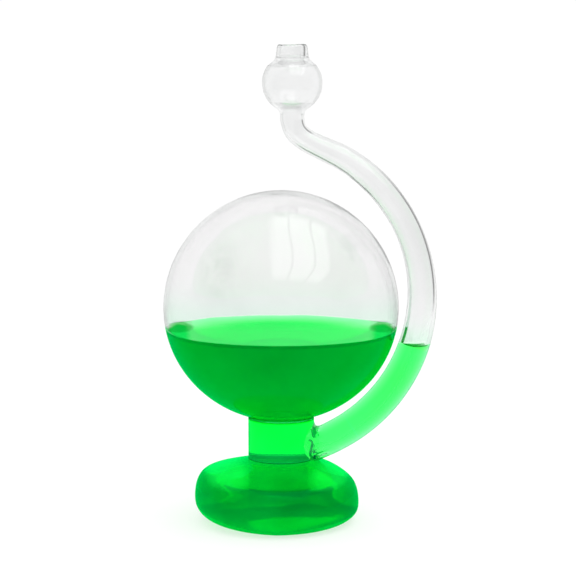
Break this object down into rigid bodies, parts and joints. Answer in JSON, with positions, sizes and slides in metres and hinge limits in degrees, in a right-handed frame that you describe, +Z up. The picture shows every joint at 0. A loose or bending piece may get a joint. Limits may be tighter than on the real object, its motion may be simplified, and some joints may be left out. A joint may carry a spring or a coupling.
{
  "type": "weather glass",
  "caption": "Blown glass weather ball: closed globe on a hollow foot, side spout curling up to an open overflow bulb, dyed liquid whose level in the spout follows air pressure.",
  "frame": {"origin": "centre of the foot's flat resting face", "axes": "+Z up; +X towards the spout; the spout, neck and globe all lie on the XZ plane"},
  "size_m": [0.0856, 0.0736, 0.15],
  "materials": {
    "clear_glass": "polished",
    "deep_liquid": "gloss",
    "bright_liquid": "gloss",
    "liquid_surface": "gloss"
  },
  "bodies": {
    "vessel": {"foot": "clear_glass", "neck": "clear_glass", "globe": "clear_glass", "spout_flare": "clear_glass", "spout_tube": "clear_glass", "overflow_bulb": "clear_glass", "mouth": "clear_glass", "foot_seam": "clear_glass", "globe_seam": "clear_glass", "stem_seam": "clear_glass", "mouth_seam": "clear_glass", "foot_liquid": "deep_liquid", "neck_liquid": "bright_liquid", "globe_liquid": "deep_liquid"},
    "spout_column": {"spout_liquid": "bright_liquid"},
    "spout_meniscus": {"spout_surface": "liquid_surface"},
    "globe_top": {"globe_surface": "liquid_surface"}
  },
  "joints": [
    {"name": "spout_level", "type": "hinge", "parent": "vessel", "child": "spout_column", "pos_m": [-0.0042, 0, 0.07175], "axis": [0, -1, 0], "range_deg": [-20, 50], "deforming": ["spout_liquid"]},
    {"name": "meniscus_level", "type": "hinge", "parent": "spout_column", "child": "spout_meniscus", "pos_m": [0.04344, 0, 0.05691], "axis": [0, -1, 0], "range_deg": [-52, 22]},
    {"name": "globe_level", "type": "slide", "parent": "vessel", "child": "globe_top", "axis": [0, 0, 1], "range_m": [-0.0005, 0.0003]}
  ],
  "couplings": [
    {"joint": "meniscus_level", "follows": "spout_level", "ratio": -1},
    {"joint": "globe_level", "follows": "spout_level", "m_per_rad": -0.00050464}
  ]
}
